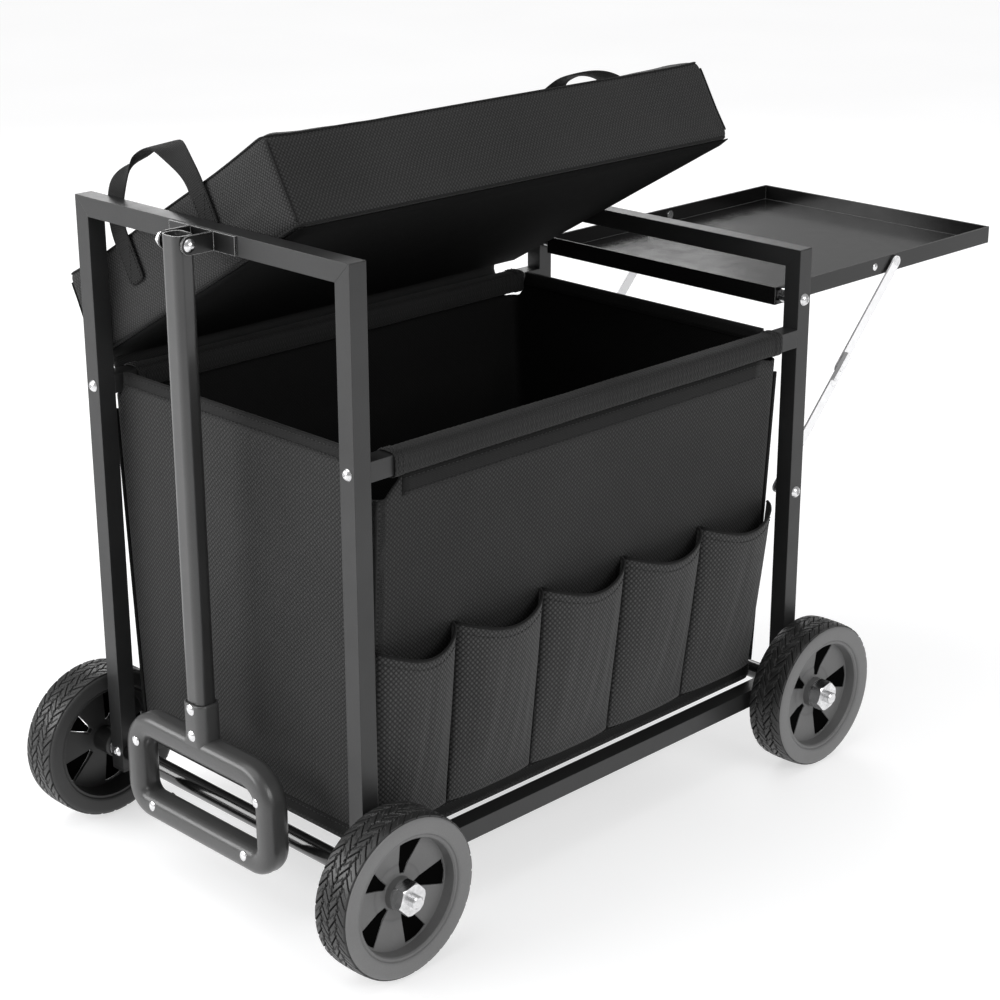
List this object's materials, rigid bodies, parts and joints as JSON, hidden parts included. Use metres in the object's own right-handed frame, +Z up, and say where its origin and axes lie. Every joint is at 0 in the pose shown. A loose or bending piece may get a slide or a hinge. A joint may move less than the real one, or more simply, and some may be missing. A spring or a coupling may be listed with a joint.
{
  "type": "rolling garden kneeler seat cart",
  "caption": "Rolling garden seat with a hinged padded lid over a hanging storage bag, outside pockets, swing-out pull handle and fold-down side tray.",
  "frame": {"origin": "centre of the bounding box on the ground plane, with the lid open and the tray deployed", "axes": "+X from the pull-handle end towards the tray end, -Y towards the pocket side, +Z up"},
  "size_m": [0.853, 0.408, 0.5924],
  "materials": {
    "frame_paint": "satin powder coat",
    "gloss_black": "gloss",
    "zinc": "bright zinc",
    "bright_strip": "bright zinc",
    "black_plastic": "satin",
    "oxford_cloth": "coarse woven",
    "stiff_board": "satin",
    "webbing": "woven webbing",
    "grip_plastic": "satin",
    "tray_paint": "gloss",
    "tyre_rubber": "matte",
    "wheel_plastic": "satin"
  },
  "bodies": {
    "chassis": {"tall_leg_near": "frame_paint", "tall_leg_far": "frame_paint", "tall_top_bar": "frame_paint", "low_leg_near": "frame_paint", "low_leg_far": "frame_paint", "low_top_bar": "frame_paint", "top_rail_near": "frame_paint", "top_rail_far": "frame_paint", "bottom_rail_near": "frame_paint", "bottom_rail_far": "frame_paint", "axle_tubes": "gloss_black", "axle_rods": "zinc", "axle_nuts": "zinc", "axle_washers": "zinc", "leg_caps": "black_plastic", "rail_plugs": "black_plastic", "rail_bolts": "zinc", "lower_screws": "zinc", "bag_shell": "oxford_cloth", "bag_base_board": "stiff_board", "hinge_strip": "oxford_cloth", "sleeve_near": "oxford_cloth", "sleeve_far": "oxford_cloth", "pocket_1": "oxford_cloth", "pocket_2": "oxford_cloth", "pocket_3": "oxford_cloth", "pocket_4": "oxford_cloth", "pocket_5": "oxford_cloth", "handle_bracket": "frame_paint", "handle_bolt": "zinc", "tray_bolts": "zinc", "brace_bolts": "zinc"},
    "seat_lid": {"seat_cushion": "oxford_cloth", "seat_board": "stiff_board", "hinge_flap": "oxford_cloth", "strap_left": "webbing", "strap_right": "webbing"},
    "pull_handle": {"handle_tube": "frame_paint", "grip_front": "grip_plastic", "grip_back": "grip_plastic", "grip_rivets": "zinc"},
    "tray": {"side_tray": "tray_paint", "tray_rivets": "zinc"},
    "brace_lower_near": {"brace_lower_near": "bright_strip"},
    "brace_lower_far": {"brace_lower_far": "bright_strip"},
    "brace_upper_near": {"brace_upper_near": "bright_strip"},
    "brace_upper_far": {"brace_upper_far": "bright_strip"},
    "wheel_near_left": {"tyre_near_left": "tyre_rubber", "centre_near_left": "wheel_plastic"},
    "wheel_far_left": {"tyre_far_left": "tyre_rubber", "centre_far_left": "wheel_plastic"},
    "wheel_near_right": {"tyre_near_right": "tyre_rubber", "centre_near_right": "wheel_plastic"},
    "wheel_far_right": {"tyre_far_right": "tyre_rubber", "centre_far_right": "wheel_plastic"}
  },
  "joints": [
    {"name": "lid_hinge", "type": "hinge", "parent": "chassis", "child": "seat_lid", "pos_m": [-0.1215, 0.1585, 0.3525], "axis": [-1, 0, 0], "range_deg": [-30, 70]},
    {"name": "handle_swing", "type": "hinge", "parent": "chassis", "child": "pull_handle", "pos_m": [-0.393, 0, 0.5145], "axis": [0, 1, 0], "range_deg": [0, 115]},
    {"name": "tray_fold", "type": "hinge", "parent": "chassis", "child": "tray", "pos_m": [0.121, 0, 0.4058], "axis": [0, 1, 0], "range_deg": [0, 90]},
    {"name": "brace_lower_near_pivot", "type": "hinge", "parent": "chassis", "child": "brace_lower_near", "pos_m": [0.121, -0.1344, 0.2388], "axis": [0, 1, 0], "range_deg": [-50, 1]},
    {"name": "brace_upper_near_pivot", "type": "hinge", "parent": "tray", "child": "brace_upper_near", "pos_m": [0.2795, -0.1324, 0.4064], "axis": [0, 1, 0], "range_deg": [-1, 42]},
    {"name": "brace_lower_far_pivot", "type": "hinge", "parent": "chassis", "child": "brace_lower_far", "pos_m": [0.121, 0.1344, 0.2388], "axis": [0, 1, 0], "range_deg": [-50, 1]},
    {"name": "brace_upper_far_pivot", "type": "hinge", "parent": "tray", "child": "brace_upper_far", "pos_m": [0.2795, 0.1324, 0.4064], "axis": [0, 1, 0], "range_deg": [-1, 42]},
    {"name": "wheel_near_left_spin", "type": "hinge", "parent": "chassis", "child": "wheel_near_left", "pos_m": [-0.363, -0.179, 0.0635], "axis": [0, 1, 0], "continuous": true},
    {"name": "wheel_far_left_spin", "type": "hinge", "parent": "chassis", "child": "wheel_far_left", "pos_m": [-0.363, 0.179, 0.0635], "axis": [0, 1, 0], "continuous": true},
    {"name": "wheel_near_right_spin", "type": "hinge", "parent": "chassis", "child": "wheel_near_right", "pos_m": [0.121, -0.179, 0.0635], "axis": [0, 1, 0], "continuous": true},
    {"name": "wheel_far_right_spin", "type": "hinge", "parent": "chassis", "child": "wheel_far_right", "pos_m": [0.121, 0.179, 0.0635], "axis": [0, 1, 0], "continuous": true}
  ],
  "couplings": [
    {"joint": "brace_lower_near_pivot", "follows": "tray_fold", "ratio": -0.54097},
    {"joint": "brace_upper_near_pivot", "follows": "tray_fold", "ratio": 0.45112},
    {"joint": "brace_lower_far_pivot", "follows": "tray_fold", "ratio": -0.54097},
    {"joint": "brace_upper_far_pivot", "follows": "tray_fold", "ratio": 0.45112}
  ]
}
